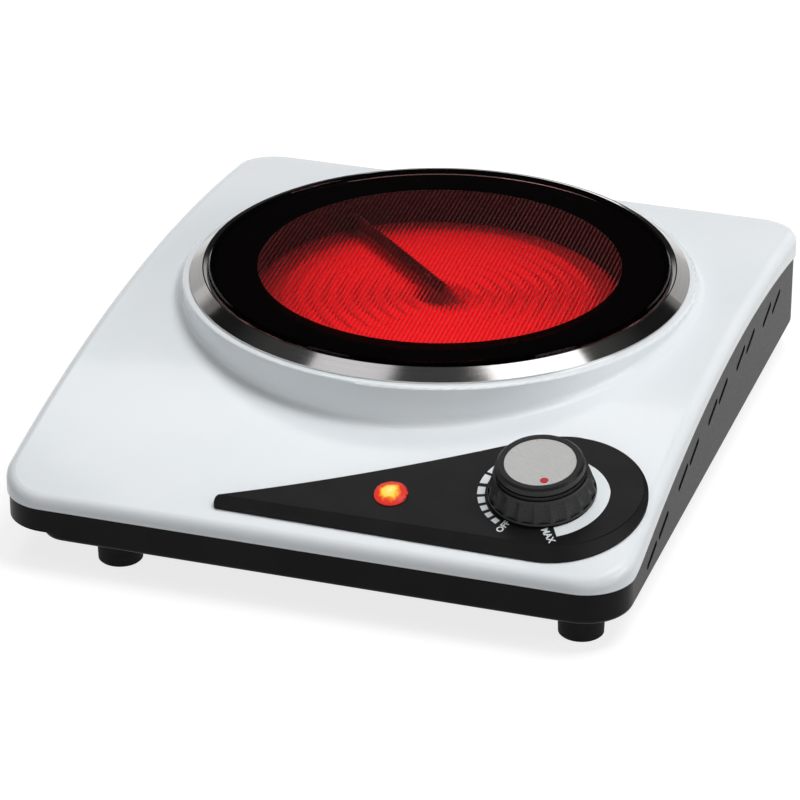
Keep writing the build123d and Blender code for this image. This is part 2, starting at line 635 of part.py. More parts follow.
def coil_arcs():
    """Centre x, radius and side of each half turn of the coil."""
    side = 1
    centre = 0
    for turn in range(COIL_HALF_TURNS):
        yield centre, COIL_INNER_RADIUS + turn * COIL_STEP, side
        centre += side * COIL_STEP
        side = -side


with BuildPart() as heating_coil:
    with BuildLine(Plane.XY.offset(COIL_Z)) as coil_path:
        Line((COIL_INNER_RADIUS, RING_Y - COIL_TAIL), (COIL_INNER_RADIUS, RING_Y))
        for centre, radius, side in coil_arcs():
            ThreePointArc(
                (centre + side * radius, RING_Y),
                (centre, RING_Y + side * radius),
                (centre - side * radius, RING_Y),
            )
        Line((centre - side * radius, RING_Y), (centre - side * radius, RING_Y + COIL_TAIL))
    with BuildSketch(Plane(origin=coil_path.line @ 0, z_dir=coil_path.line % 0)):
        Circle(COIL_WIRE_RADIUS)
    sweep()


def coil_gap():
    """The least clear space between one turn of the coil and the next."""
    points = [coil_path.line @ (step / COIL_SAMPLES) for step in range(COIL_SAMPLES + 1)]
    runs = [sum((b - a).length for a, b in zip(points[:k], points[1 : k + 1])) for k in range(len(points))]
    apart = 4 * COIL_PITCH
    least = min(
        (q - p).length
        for k, p in enumerate(points)
        for n, q in enumerate(points[k + 1 :], k + 1)
        if runs[n] - runs[k] > apart
    )
    return least - 2 * COIL_WIRE_RADIUS


print("coil: least gap between turns", round(coil_gap(), 2), "mm")

# Limiter: a tube across the hot zone and its switch outside the dish
with BuildPart() as limiter_rod:
    with Locations(LIMITER_AXIS.location * Pos(0, 0, -LIMITER_PAST_CENTRE)):
        Cylinder(LIMITER_RADIUS, LIMITER_PAST_CENTRE + HEATER_RADIUS, align=UP)

with BuildPart() as limiter_switch:
    with Locations(LIMITER_WAY.location * Pos(HEATER_RADIUS - HEATER_WALL, 0, -SWITCH_DROP)):
        Box(SWITCH_LENGTH, SWITCH_WIDTH, SWITCH_HEIGHT, align=OUT)
    fillet(limiter_switch.edges().filter_by(Axis.Z), radius=HEATER_WALL)
    with Locations(RING_SEAT.location):
        Cylinder(HEATER_RADIUS + GLASS_GAP, GLASS_TOP, align=UP, mode=Mode.SUBTRACT)

with BuildPart() as heater_terminal:
    with Locations(TERMINAL_WAY.location * Pos(HEATER_RADIUS - HEATER_WALL, 0, 0)):
        Box(TERMINAL_LENGTH, TERMINAL_WIDTH, TERMINAL_HEIGHT, align=OUT)
    fillet(heater_terminal.edges().filter_by(Axis.Z), radius=HEATER_WALL)
    with Locations(RING_SEAT.location):
        Cylinder(HEATER_RADIUS + GLASS_GAP, GLASS_TOP, align=UP, mode=Mode.SUBTRACT)

# Bracket that presses the heater up against the glass
with BuildPart() as heater_bracket:
    with Locations((0, RING_Y, DISH_BOTTOM - BRACKET_THICK)):
        Box(2 * (BRACKET_POST_X + BRACKET_END), BRACKET_WIDTH, BRACKET_THICK, align=UP)
    fillet(heater_bracket.edges().filter_by(Axis.Z), radius=BRACKET_THICK)
    with Locations(*[(x, y, DISH_BOTTOM) for x, y in BRACKET_POSTS]):
        Cylinder(SCREW_RADIUS + SCREW_PLAY, 4 * BRACKET_THICK, mode=Mode.SUBTRACT)


def screw(seat, length):
    """A round-headed screw whose head stands on a seat and whose shank runs down from it."""
    half = SCREW_HEAD_RADIUS / 5
    profile = [
        (0, -length),
        (SCREW_RADIUS, -length),
        (SCREW_RADIUS, 0),
        (SCREW_HEAD_RADIUS, 0),
        (SCREW_HEAD_RADIUS, SCREW_HEAD_HEIGHT / 2),
        (SCREW_HEAD_RADIUS - half, SCREW_HEAD_HEIGHT),
        (0, SCREW_HEAD_HEIGHT),
    ]
    return turned(seat, profile)


def upside_down(x, y, z):
    """A seat that faces the floor."""
    return Plane(origin=(x, y, z), x_dir=(1, 0, 0), z_dir=(0, 0, -1))


def group(solids):
    """Separate solids that share one node."""
    with BuildPart() as gathered:
        for solid in solids:
            add(solid)
    return gathered.part


bracket_screws = group(
    screw(Plane(origin=(x, y, DISH_BOTTOM), x_dir=(1, 0, 0), z_dir=(0, 0, 1)), SCREW_BITE)
    for x, y in BRACKET_POSTS
)
cover_screws = group(
    screw(upside_down(x, y, COVER_POST_END_Z - PAN_FLOOR), PAN_FLOOR + SCREW_BITE - SCREW_PLAY)
    for x, y in COVER_POSTS
)
foot_screws = group(
    screw(upside_down(x, y, FOOT_RECESS_DEPTH), FIELD_BOTTOM - FOOT_RECESS_DEPTH + SCREW_BITE)
    for x, y in FOOT_SPOTS.values()
)


def foot(x, y):
    """A round rubber foot with a recess for its screw."""
    profile = [
        (SCREW_RADIUS + SCREW_PLAY, FIELD_BOTTOM),
        (FOOT_RADIUS, FIELD_BOTTOM),
        (FOOT_RADIUS - FOOT_TAPER, FOOT_TAPER),
        (FOOT_RADIUS - 2 * FOOT_TAPER, 0),
        (FOOT_RECESS_RADIUS, 0),
        (FOOT_RECESS_RADIUS, FOOT_RECESS_DEPTH),
        (SCREW_RADIUS + SCREW_PLAY, FOOT_RECESS_DEPTH),
    ]
    return turned(Plane(origin=(x, y, 0), x_dir=(1, 0, 0), z_dir=(0, 0, 1)), profile)


# Knob: a fluted skirt under a plain collar, with a bright disc in its top
KNOB_SLOPE = math.atan2(KNOB_SKIRT_RADIUS - KNOB_WAIST_RADIUS, KNOB_SKIRT_HEIGHT - KNOB_LIFT)
KNOB_FLUTE_FOOT = KNOB_SKIRT_RADIUS - KNOB_BASE * math.tan(KNOB_SLOPE)
KNOB_FLUTE_CIRCLE = KNOB_FLUTE_FOOT + KNOB_FLUTE_RADIUS - KNOB_FLUTE_DEPTH
KNOB_FLUTE_LENGTH = (KNOB_SKIRT_HEIGHT - KNOB_LIFT - KNOB_BASE) / math.cos(KNOB_SLOPE)
KNOB_AXIS = Axis(KNOB_SEAT.origin, KNOB_SEAT.z_dir)


def d_bore(radius, flat, low, high):
    """A round bar with one flat, standing on the knob's axis between two heights."""
    with BuildPart() as bar:
        with BuildSketch(KNOB_SEAT.offset(low)):
            Circle(radius)
            with Locations((0, flat)):
                Rectangle(2 * radius, 2 * radius, align=(Align.CENTER, Align.MIN), mode=Mode.SUBTRACT)
        extrude(amount=high - low)
    return bar.part


BORE_RADIUS = SHAFT_RADIUS + SHAFT_PLAY
shaft_bore = d_bore(BORE_RADIUS, BORE_RADIUS - SHAFT_FLAT, 0, SHAFT_TOP + SHAFT_PLAY)
shaft_end = d_bore(SHAFT_RADIUS, SHAFT_RADIUS - SHAFT_FLAT, KNOB_BOSS_LIFT, SHAFT_TOP)

with BuildPart() as knob:
    with BuildSketch(upright(KNOB_SEAT)):
        with BuildLine():
            Polyline(
                (0, KNOB_LIFT),
                (KNOB_SKIRT_RADIUS, KNOB_LIFT),
                (KNOB_WAIST_RADIUS, KNOB_SKIRT_HEIGHT),
                (KNOB_COLLAR_RADIUS, KNOB_SKIRT_HEIGHT),
                (KNOB_COLLAR_RADIUS, KNOB_GROOVE_HEIGHT),
                (KNOB_COLLAR_RADIUS - KNOB_GROOVE_DEPTH, KNOB_GROOVE_HEIGHT),
                (KNOB_COLLAR_RADIUS - KNOB_GROOVE_DEPTH, KNOB_GROOVE_HEIGHT + KNOB_GROOVE_WIDTH),
                (KNOB_COLLAR_RADIUS, KNOB_GROOVE_HEIGHT + KNOB_GROOVE_WIDTH),
                (KNOB_RIM_RADIUS, KNOB_HEIGHT - KNOB_RIM_BEVEL),
                (KNOB_RIM_RADIUS - KNOB_RIM_BEVEL, KNOB_HEIGHT),
                (0, KNOB_HEIGHT),
                close=True,
            )
        make_face()
    revolve(axis=KNOB_AXIS)
    with Locations(KNOB_SEAT.location):
        with PolarLocations(KNOB_FLUTE_CIRCLE, KNOB_FLUTES):
            with Locations(Location((0, 0, KNOB_LIFT + KNOB_BASE), (0, -math.degrees(KNOB_SLOPE), 0))):
                Cylinder(KNOB_FLUTE_RADIUS, KNOB_FLUTE_LENGTH, align=UP, mode=Mode.SUBTRACT)
    with Locations(KNOB_SEAT.location * Pos(0, 0, KNOB_HEIGHT)):
        Cylinder(DISC_RADIUS + DISC_PLAY, DISC_RECESS, align=DOWN, mode=Mode.SUBTRACT)
    with Locations(KNOB_SEAT.location):
        Cylinder(KNOB_HOLLOW_RADIUS, KNOB_HEIGHT - DISC_RECESS - KNOB_ROOF, align=UP, mode=Mode.SUBTRACT)
    with Locations(KNOB_SEAT.location * Pos(0, 0, KNOB_BOSS_LIFT)):
        Cylinder(KNOB_BOSS_RADIUS, KNOB_HEIGHT - DISC_RECESS - KNOB_ROOF / 2 - KNOB_BOSS_LIFT, align=UP)
    add(shaft_bore, mode=Mode.SUBTRACT)

with BuildPart() as knob_disc:
    with Locations(KNOB_SEAT.location * Pos(0, 0, KNOB_HEIGHT - DISC_RECESS)):
        Cylinder(DISC_RADIUS, DISC_THICK, align=UP)
    chamfer(knob_disc.edges().sort_by(KNOB_AXIS)[-1], length=DISC_THICK / 4)

# Regulator: a box under the cover, its bush through cover and panel, and its turning shaft
REGULATOR_TOP = -PANEL_TOP - COVER_WALL - REGULATOR_PLAY
with BuildPart() as regulator_shaft:
    with Locations(KNOB_SEAT.location * Pos(0, 0, REGULATOR_TOP - SHAFT_SEAT + SHAFT_PLAY)):
        Cylinder(SHAFT_RADIUS, KNOB_BOSS_LIFT - REGULATOR_TOP + SHAFT_SEAT - SHAFT_PLAY, align=UP)
    add(shaft_end)

with BuildPart() as regulator_bush:
    with Locations(KNOB_SEAT.location * Pos(0, 0, REGULATOR_TOP)):
        Cylinder(BUSH_RADIUS, BUSH_TOP - REGULATOR_TOP, align=UP)
        Cylinder(SHAFT_RADIUS + SHAFT_PLAY, GLASS_TOP, align=UP, mode=Mode.SUBTRACT)

with BuildPart() as regulator_nut:
    with BuildSketch(KNOB_SEAT):
        RegularPolygon(NUT_WIDTH / 2, 6, major_radius=False)
        Circle(BUSH_RADIUS + NUT_PLAY, mode=Mode.SUBTRACT)
    extrude(amount=NUT_THICK)

with BuildPart() as regulator_body:
    with Locations(KNOB_SEAT.location * Pos(0, 0, REGULATOR_TOP)):
        Box(REGULATOR_WIDTH, REGULATOR_LENGTH, REGULATOR_HEIGHT, align=DOWN)
    fillet(regulator_body.edges().filter_by(KNOB_AXIS), radius=REGULATOR_ROUND)
    with Locations(KNOB_SEAT.location * Pos(0, 0, REGULATOR_TOP)):
        Cylinder(SHAFT_RADIUS + SHAFT_PLAY, SHAFT_SEAT, align=DOWN, mode=Mode.SUBTRACT)

TAB_ROOT = KNOB_SEAT.location * Pos(0, REGULATOR_LENGTH / 2, REGULATOR_TOP - TAB_DROP)
with BuildPart() as regulator_tabs:
    with Locations(TAB_ROOT):
        with GridLocations(TAB_PITCH, 1, TAB_COUNT, 1):
            Box(TAB_WIDTH, TAB_LENGTH, TAB_THICK, align=(Align.CENTER, Align.MIN, Align.CENTER))

# Pilot lamp: a domed lens in the panel, a holder below it and a small bulb inside
LAMP_AXIS = Axis(LAMP_SEAT.origin, LAMP_SEAT.z_dir)
LENS_TOP = LENS_FLANGE + LENS_DOME
with BuildPart() as lamp_lens:
    with BuildSketch(upright(LAMP_SEAT)):
        with BuildLine():
            Polyline(
                (0, LENS_TOP - LENS_WALL),
                (0, LENS_TOP),
            )
            ThreePointArc(
                (0, LENS_TOP),
                (LENS_RADIUS / 2, LENS_FLANGE + LENS_DOME * LENS_FULLNESS),
                (LENS_RADIUS, LENS_FLANGE),
            )
            Polyline(
                (LENS_RADIUS, LENS_FLANGE),
                (LENS_RADIUS, 0),
                (LENS_NECK_RADIUS, 0),
                (LENS_NECK_RADIUS, -LENS_NECK_DEPTH),
                (LENS_NECK_RADIUS - LENS_WALL, -LENS_NECK_DEPTH),
                (LENS_NECK_RADIUS - LENS_WALL, LENS_FLANGE - LENS_WALL / 2),
                (0, LENS_TOP - LENS_WALL),
            )
        make_face()
    revolve(axis=LAMP_AXIS)

with BuildPart() as lamp_body:
    with Locations(LAMP_SEAT.location * Pos(0, 0, -LENS_NECK_DEPTH)):
        Cylinder(LAMP_BODY_RADIUS, LAMP_BODY_LENGTH, align=DOWN)

with BuildPart() as lamp_bulb:
    with Locations(LAMP_SEAT.location * Pos(0, 0, -LENS_NECK_DEPTH)):
        Cylinder(BULB_RADIUS, LENS_NECK_DEPTH - BULB_PLAY, align=UP)
    fillet(lamp_bulb.edges().sort_by(LAMP_AXIS)[-1], radius=BULB_RADIUS - BULB_PLAY)

# Mains entry: a gland through the rear wall with its nut, and a terminal block on the floor
GLAND_SEAT = Plane(origin=(GLAND_X, REAR_Y + GLAND_PROUD, GLAND_Z), x_dir=(1, 0, 0), z_dir=(0, 1, 0))
GLAND_FLANGE = GLAND_PROUD + PAN_INSET
cord_gland = turned(
    GLAND_SEAT,
    [
        (GLAND_BORE_RADIUS, 0),
        (GLAND_FLANGE_RADIUS - GLAND_PROUD / 2, 0),
        (GLAND_FLANGE_RADIUS, -GLAND_PROUD / 2),
        (GLAND_FLANGE_RADIUS, -GLAND_FLANGE),
        (GLAND_NECK_RADIUS, -GLAND_FLANGE),
        (GLAND_NECK_RADIUS, -GLAND_FLANGE - PAN_WALL - GLAND_INNER),
        (GLAND_BORE_RADIUS, -GLAND_FLANGE - PAN_WALL - GLAND_INNER),
    ],
)
with BuildPart() as gland_nut:
    with BuildSketch(GLAND_SEAT.offset(-GLAND_FLANGE - PAN_WALL)):
        RegularPolygon(GLAND_NUT_WIDTH / 2, 6, major_radius=False)
        Circle(GLAND_NECK_RADIUS + GLAND_HOLE_PLAY, mode=Mode.SUBTRACT)
    extrude(amount=-GLAND_NUT_THICK)

BLOCK_TOP = FIELD_TOP + BLOCK_HEIGHT
POLE_SPOTS = [
    (BLOCK_X + (pole - (BLOCK_POLES - 1) / 2) * BLOCK_POLE_PITCH, BLOCK_Y) for pole in range(BLOCK_POLES)
]
with BuildPart() as terminal_block:
    with Locations((BLOCK_X, BLOCK_Y, FIELD_TOP)):
        Box(BLOCK_WIDTH, BLOCK_DEPTH, BLOCK_HEIGHT, align=UP)
    fillet(terminal_block.edges().filter_by(Axis.Z), radius=BLOCK_SCREW_RADIUS)
    with Locations(*[(x, y, BLOCK_TOP) for x, y in POLE_SPOTS]):
        Cylinder(BLOCK_SCREW_RADIUS + SCREW_PLAY, BLOCK_SCREW_DEPTH, align=DOWN, mode=Mode.SUBTRACT)

with BuildPart() as terminal_screws:
    with Locations(*[(x, y, BLOCK_TOP) for x, y in POLE_SPOTS]):
        Cylinder(BLOCK_SCREW_RADIUS, BLOCK_SCREW_DEPTH, align=DOWN)
        Box(2 * BLOCK_SCREW_RADIUS, BLOCK_SCREW_RADIUS / 3, BLOCK_SCREW_RADIUS, mode=Mode.SUBTRACT)


def lead(*route):
    """An insulated wire along straight runs joined by wide bends."""
    with BuildPart() as wire:
        with BuildLine() as path:
            FilletPolyline(*route, radius=LEAD_BEND)
        with BuildSketch(Plane(origin=path.line @ 0, z_dir=path.line % 0)):
            Circle(LEAD_RADIUS)
        sweep()
    return wire.part


def tab_spot(index, out):
    """A point straight out from one of the regulator's tabs."""
    place = TAB_ROOT * Pos((index - (TAB_COUNT - 1) / 2) * TAB_PITCH, TAB_LENGTH + out, 0)
    return place.position


BLOCK_FACE_Y = BLOCK_Y - BLOCK_DEPTH / 2 - LEAD_GAP
LEAD_Z = FIELD_TOP + BLOCK_HEIGHT / 2
POLE_X = POLE_SPOTS[-1][0]
switch_spot = LIMITER_WAY.location * Pos(HEATER_RADIUS + SWITCH_LENGTH / 2, 0, 0)
SWITCH_X = switch_spot.position.X
SWITCH_Y = switch_spot.position.Y
live_tab = tab_spot(TAB_COUNT - 2, LEAD_TAIL)
limiter_tab = tab_spot(0, LEAD_TAIL)
LIVE_RUN_Y = live_tab.Y + 3 * LEAD_BEND
LIMITER_RUN_Y = limiter_tab.Y + 2 * LEAD_BEND
lead_live = lead(
    (POLE_X, BLOCK_FACE_Y, LEAD_Z),
    (POLE_X, LIVE_RUN_Y, LEAD_Z),
    (live_tab.X, LIVE_RUN_Y, LEAD_Z),
    tuple(live_tab),
    tuple(tab_spot(TAB_COUNT - 2, LEAD_GAP)),
)
lead_limiter = lead(
    (SWITCH_X, SWITCH_Y, LIMITER_Z - SWITCH_DROP - SWITCH_HEIGHT / 2 - LEAD_GAP),
    (SWITCH_X, SWITCH_Y, LEAD_Z),
    (SWITCH_X, LIMITER_RUN_Y, LEAD_Z),
    (limiter_tab.X, LIMITER_RUN_Y, LEAD_Z),
    tuple(limiter_tab),
    tuple(tab_spot(0, LEAD_GAP)),
)

solids = {
    "top_cover": top_cover.part,
    "base_pan": base_pan.part,
    "control_panel": control_panel.part,
    "panel_clips": panel_clips.part,
    "trim_ring": trim_ring,
    "glass_seal": glass_seal,
    "glass_plate": glass_plate.part,
    "heater_dish": heater_dish.part,
    "heater_base_board": heater_base_board.part,
    "heater_rim_board": heater_rim_board.part,
    "heating_coil": heating_coil.part,
    "limiter_rod": limiter_rod.part,
    "limiter_switch": limiter_switch.part,
    "heater_terminal": heater_terminal.part,
    "heater_bracket": heater_bracket.part,
    "bracket_screws": bracket_screws,
    "cover_screws": cover_screws,
    "foot_screws": foot_screws,
    "knob": knob.part,
    "knob_disc": knob_disc.part,
    "regulator_shaft": regulator_shaft.part,
    "regulator_bush": regulator_bush.part,
    "regulator_nut": regulator_nut.part,
    "regulator_body": regulator_body.part,
    "regulator_tabs": regulator_tabs.part,
    "lamp_lens": lamp_lens.part,
    "lamp_body": lamp_body.part,
    "lamp_bulb": lamp_bulb.part,
    "cord_gland": cord_gland,
    "gland_nut": gland_nut.part,
    "terminal_block": terminal_block.part,
    "terminal_screws": terminal_screws.part,
    "lead_live": lead_live,
    "lead_limiter": lead_limiter,
}
solids.update({name: foot(x, y) for name, (x, y) in FOOT_SPOTS.items()})

for name, solid in solids.items():
    solid.label = name
    export_step(solid, f"parts/{name}.step")
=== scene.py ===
"""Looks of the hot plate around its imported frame.

Materials, the glowing winding, the printed scale, the light and the camera.
"""

import json
import math

import bmesh
import bpy
from mathutils import Matrix, Vector


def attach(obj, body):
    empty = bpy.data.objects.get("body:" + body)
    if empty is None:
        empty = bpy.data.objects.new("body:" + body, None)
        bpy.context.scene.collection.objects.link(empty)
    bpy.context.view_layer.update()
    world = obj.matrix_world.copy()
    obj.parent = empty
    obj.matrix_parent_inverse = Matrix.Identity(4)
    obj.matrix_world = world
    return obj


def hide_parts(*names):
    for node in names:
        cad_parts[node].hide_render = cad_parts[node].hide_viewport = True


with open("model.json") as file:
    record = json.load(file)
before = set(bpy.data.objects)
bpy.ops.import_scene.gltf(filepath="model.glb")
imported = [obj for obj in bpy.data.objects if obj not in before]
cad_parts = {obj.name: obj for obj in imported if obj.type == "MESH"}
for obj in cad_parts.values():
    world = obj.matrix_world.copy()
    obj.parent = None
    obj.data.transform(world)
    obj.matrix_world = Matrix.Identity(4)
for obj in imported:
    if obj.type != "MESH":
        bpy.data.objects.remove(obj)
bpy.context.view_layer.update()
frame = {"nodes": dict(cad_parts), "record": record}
NODES = frame["nodes"]
MM = 0.001

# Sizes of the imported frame
RING_Y = 24.5 * MM
RING_AXIS = (0, RING_Y, 0)
GLASS_BOTTOM = 62.0 * MM
FLOOR_Z = 46.4 * MM
ZONE_RADIUS = 71.0 * MM
ROD_ANGLE = math.radians(135.5)
ARCH_RADIUS = 670.0 * MM
CREST_Y = 46.5 * MM
CREST_Z = 55.9 * MM
PANEL_TOP = 2.65 * MM
KNOB_X, KNOB_Y = 79.4 * MM, -103.0 * MM
KNOB_LEAN = math.asin((KNOB_Y - CREST_Y) / ARCH_RADIUS)
DISC_TOP = 14.2 * MM
LAMP_X, LAMP_Y = 26.4 * MM, -115.7 * MM
LAMP_LEAN = math.asin((LAMP_Y - CREST_Y) / ARCH_RADIUS)


def arch_point(x, lean, lift):
    """A point over the cover's arch, at an angle from its crest and a height over its face."""
    reach = ARCH_RADIUS + lift
    y = CREST_Y + reach * math.sin(lean)
    z = CREST_Z - ARCH_RADIUS + reach * math.cos(lean)
    return Vector((x, y, z))


def arch_matrix(x, lean, lift):
    """A frame that stands square on the arch."""
    spot = arch_point(x, lean, lift)
    return Matrix.Translation(spot) @ Matrix.Rotation(-lean, 4, "X")


# Shader helpers
SOCKETS = {
    "base": "Base Color",
    "rough": "Roughness",
    "metal": "Metallic",
    "ior": "IOR",
    "spec": "Specular IOR Level",
    "spec_tint": "Specular Tint",
    "coat": "Coat Weight",
    "coat_rough": "Coat Roughness",
    "trans": "Transmission Weight",
    "glow": "Emission Color",
    "glow_power": "Emission Strength",
}
MIX_FIRST, MIX_SECOND, MIX_RESULT = 6, 7, 2
NOISE_LOW, NOISE_HIGH = 0.3, 0.7


class Shade:
    """One material, with short calls for its nodes."""

    def __init__(self, name):
        self.material = bpy.data.materials.new(name)
        self.material.use_nodes = True
        self.tree = self.material.node_tree
        self.bsdf = self.tree.nodes["Principled BSDF"]
        self.out = self.tree.nodes["Material Output"]
        self.place = self.add("ShaderNodeTexCoord").outputs["Object"]

    def add(self, kind, **values):
        node = self.tree.nodes.new(kind)
        for key, value in values.items():
            setattr(node, key, value)
        return node

    def link(self, output, socket):
        self.tree.links.new(output, socket)

    def feed(self, socket, value):
        """Link a socket to an output, or set it to a colour or a number."""
        if isinstance(value, bpy.types.NodeSocket):
            self.link(value, socket)
        elif isinstance(value, tuple):
            socket.default_value = (*value, 1.0)
        else:
            socket.default_value = value

    def put(self, **values):
        for key, value in values.items():
            self.feed(self.bsdf.inputs[SOCKETS[key]], value)

    def noise(self, scale, detail, stretch=(1, 1, 1), source=None):
        mapped = self.add("ShaderNodeMapping")
        mapped.inputs["Scale"].default_value = stretch
        self.link(source or self.place, mapped.inputs["Vector"])
        node = self.add("ShaderNodeTexNoise")
        node.inputs["Scale"].default_value = scale
        node.inputs["Detail"].default_value = detail
        self.link(mapped.outputs["Vector"], node.inputs["Vector"])
        return node.outputs["Fac"]

    def spread(self, source, low=0.0, high=1.0, from_low=NOISE_LOW, from_high=NOISE_HIGH):
        """Stretch a range of a value, most of a noise unless given, to another range."""
        node = self.add("ShaderNodeMapRange")
        node.inputs["From Min"].default_value = from_low
        node.inputs["From Max"].default_value = from_high
        node.inputs["To Min"].default_value = low
        node.inputs["To Max"].default_value = high
        self.link(source, node.inputs["Value"])
        return node.outputs["Result"]

    def mix(self, factor, first, second):
        node = self.add("ShaderNodeMix", data_type="RGBA")
        self.feed(node.inputs[0], factor)
        self.feed(node.inputs[MIX_FIRST], first)
        self.feed(node.inputs[MIX_SECOND], second)
        return node.outputs[MIX_RESULT]

    def calc(self, operation, first, second=0.0):
        node = self.add("ShaderNodeMath", operation=operation)
        self.feed(node.inputs[0], first)
        self.feed(node.inputs[1], second)
        return node.outputs[0]

    def times(self, first, second):
        return self.calc("MULTIPLY", first, second)

    def split(self, source=None):
        node = self.add("ShaderNodeSeparateXYZ")
        self.link(source or self.place, node.inputs[0])
        return node.outputs

    def join(self, *parts):
        node = self.add("ShaderNodeCombineXYZ")
        for socket, value in zip(node.inputs, parts):
            self.feed(socket, value)
        return node.outputs[0]

    def from_spot(self, spot):
        """The place on the piece, counted from a point."""
        node = self.add("ShaderNodeVectorMath", operation="SUBTRACT")
        self.link(self.place, node.inputs[0])
        node.inputs[1].default_value = spot
        return node.outputs[0]

    def radius(self, spot):
        """Distance from an upright axis through a point, and the height over the point."""
        x, y, z = self.split(self.from_spot(spot))
        return self.calc("SQRT", self.calc("ADD", self.times(x, x), self.times(y, y))), z

    def drift(self, pattern, first, second):
        """Let the colour wander between two tones with a pattern."""
        self.put(base=self.mix(self.spread(pattern), first, second))

    def gloss(self, pattern, low, high):
        """Let the roughness wander between two values with a pattern."""
        self.put(rough=self.spread(pattern, low, high))

    def bump(self, height, strength, distance):
        node = self.add("ShaderNodeBump")
        node.inputs["Strength"].default_value = strength
        node.inputs["Distance"].default_value = distance
        self.link(height, node.inputs["Height"])
        self.link(node.outputs["Normal"], self.bsdf.inputs["Normal"])


def tone(colour, share):
    return tuple(min(1.0, c * share) for c in colour)


def grey(level):
    return level, level, level


def fill_ramp(node, stops):
    """Give a new colour ramp its stops, from first to last."""
    elements = node.color_ramp.elements
    first, *between, last = stops
    for element, (position, colour) in zip(elements, (first, last)):
        element.position = position
        element.color = (*colour, 1.0)
    for position, colour in between:
        elements.new(position).color = (*colour, 1.0)


# Materials
PLAIN_SHIFT = 0.18
PLAIN_UNEVEN = 0.15
RING_LINES = 9000.0
LINE_PITCH = 1.72 * MM
LINE_SLANT = 0.06
LINE_EDGE = 0.7
GLASS_INDEX = 1.5
GLOW_RED = (1.0, 0.045, 0.06)
GLOW_POWER = 1.45
# Shares of the glow: the floor's share is painted light of the winding, and the rim, front,
# back and shade shares are painted shade.
FLOOR_SHARE = 0.36
RIM_SHARE = 0.64
FRONT_SHARE, BACK_SHARE = 0.92, 0.74
SHADE_SHARE = 0.14
BRUSH_TURN = math.radians(37)
BRUSH_STRETCH = (220, 5200, 1)
LENS_RADIUS = 6.6 * MM
LENS_FORWARD = 1.1 * MM
LENS_RAGGED = 0.11
LENS_STOPS = (
    (0.0, (1.0, 0.93, 0.34)),
    (0.36, (1.0, 0.74, 0.07)),
    (0.52, (0.90, 0.22, 0.02)),
    (0.66, (0.68, 0.03, 0.02)),
    (0.88, (0.66, 0.04, 0.035)),
    (1.0, (0.05, 0.002, 0.002)),
)


def plain(name, colour, rough, grain, bump, **finish):
    """A surface with a little colour drift, uneven gloss and a fine grain."""
    m = Shade(name)
    m.put(**finish)
    pale, deep = tone(colour, 1 + PLAIN_SHIFT), tone(colour, 1 - PLAIN_SHIFT)
    m.drift(m.noise(scale=60, detail=4), deep, pale)
    fine = m.noise(scale=grain, detail=3)
    m.gloss(fine, rough * (1 - PLAIN_UNEVEN), rough * (1 + PLAIN_UNEVEN))
    m.bump(fine, strength=bump, distance=0.04 * MM)
    return m.material


def enamel():
    """Glossy white enamel with a faint unevenness."""
    m = Shade("white_enamel")
    m.put(ior=GLASS_INDEX, spec=0.35, coat=0.35, coat_rough=0.04)
    m.drift(m.noise(scale=18, detail=3), (0.785, 0.828, 0.858), (0.815, 0.85, 0.878))
    m.gloss(m.noise(scale=420, detail=2), 0.16, 0.24)
    m.bump(m.noise(scale=260, detail=2), strength=0.05, distance=0.06 * MM)
    return m.material


def ring_steel():
    """Steel with fine turned lines around the ring's axis."""
    m = Shade("ring_steel")
    m.put(metal=1.0)
    r, z = m.radius(RING_AXIS)
    section = m.join(m.times(r, RING_LINES), m.times(z, RING_LINES), 0.0)
    lines = m.noise(scale=1.0, detail=4, source=section)
    m.drift(lines, (0.50, 0.485, 0.475), (0.66, 0.645, 0.63))
    m.gloss(lines, 0.07, 0.12)
    m.bump(lines, strength=0.03, distance=0.02 * MM)
    return m.material


def dark_glass():
    """Dark ceramic glass, printed black around the cooking zone and ribbed under it."""
    m = Shade("dark_glass")
    x, y, z = m.split()
    r, _ = m.radius(RING_AXIS)
    slant = m.calc("ADD", x, m.times(y, LINE_SLANT))
    stripe = m.calc("SINE", m.times(slant, 2 * math.pi / LINE_PITCH))
    share = m.spread(stripe, from_low=-LINE_EDGE, from_high=LINE_EDGE)
    lines = m.mix(share, (0.66, 0.10, 0.115), (0.40, 0.034, 0.04))
    below = m.mix(m.calc("GREATER_THAN", r, ZONE_RADIUS), lines, grey(0.0))
    under = m.calc("LESS_THAN", z, GLASS_BOTTOM + 0.5 * MM)
    m.put(base=m.mix(under, (0.82, 0.40, 0.40), below))
    m.put(trans=1.0, ior=GLASS_INDEX, spec_tint=grey(0.35))
    m.gloss(m.noise(scale=900, detail=2), 0.0, 0.02)
    ribbed = m.times(under, m.calc("LESS_THAN", r, ZONE_RADIUS))
    m.bump(m.times(stripe, ribbed), strength=1.0, distance=0.03 * MM)
    return m.material


def fibre(name, colour, bump):
    """Dull pressed fibre with coarse specks."""
    m = Shade(name)
    specks = m.noise(scale=1400, detail=5)
    m.drift(m.noise(scale=160, detail=4), tone(colour, 0.8), tone(colour, 1.12))
    m.gloss(specks, 0.85, 1.0)
    m.bump(specks, strength=bump, distance=0.2 * MM)
    return m.material


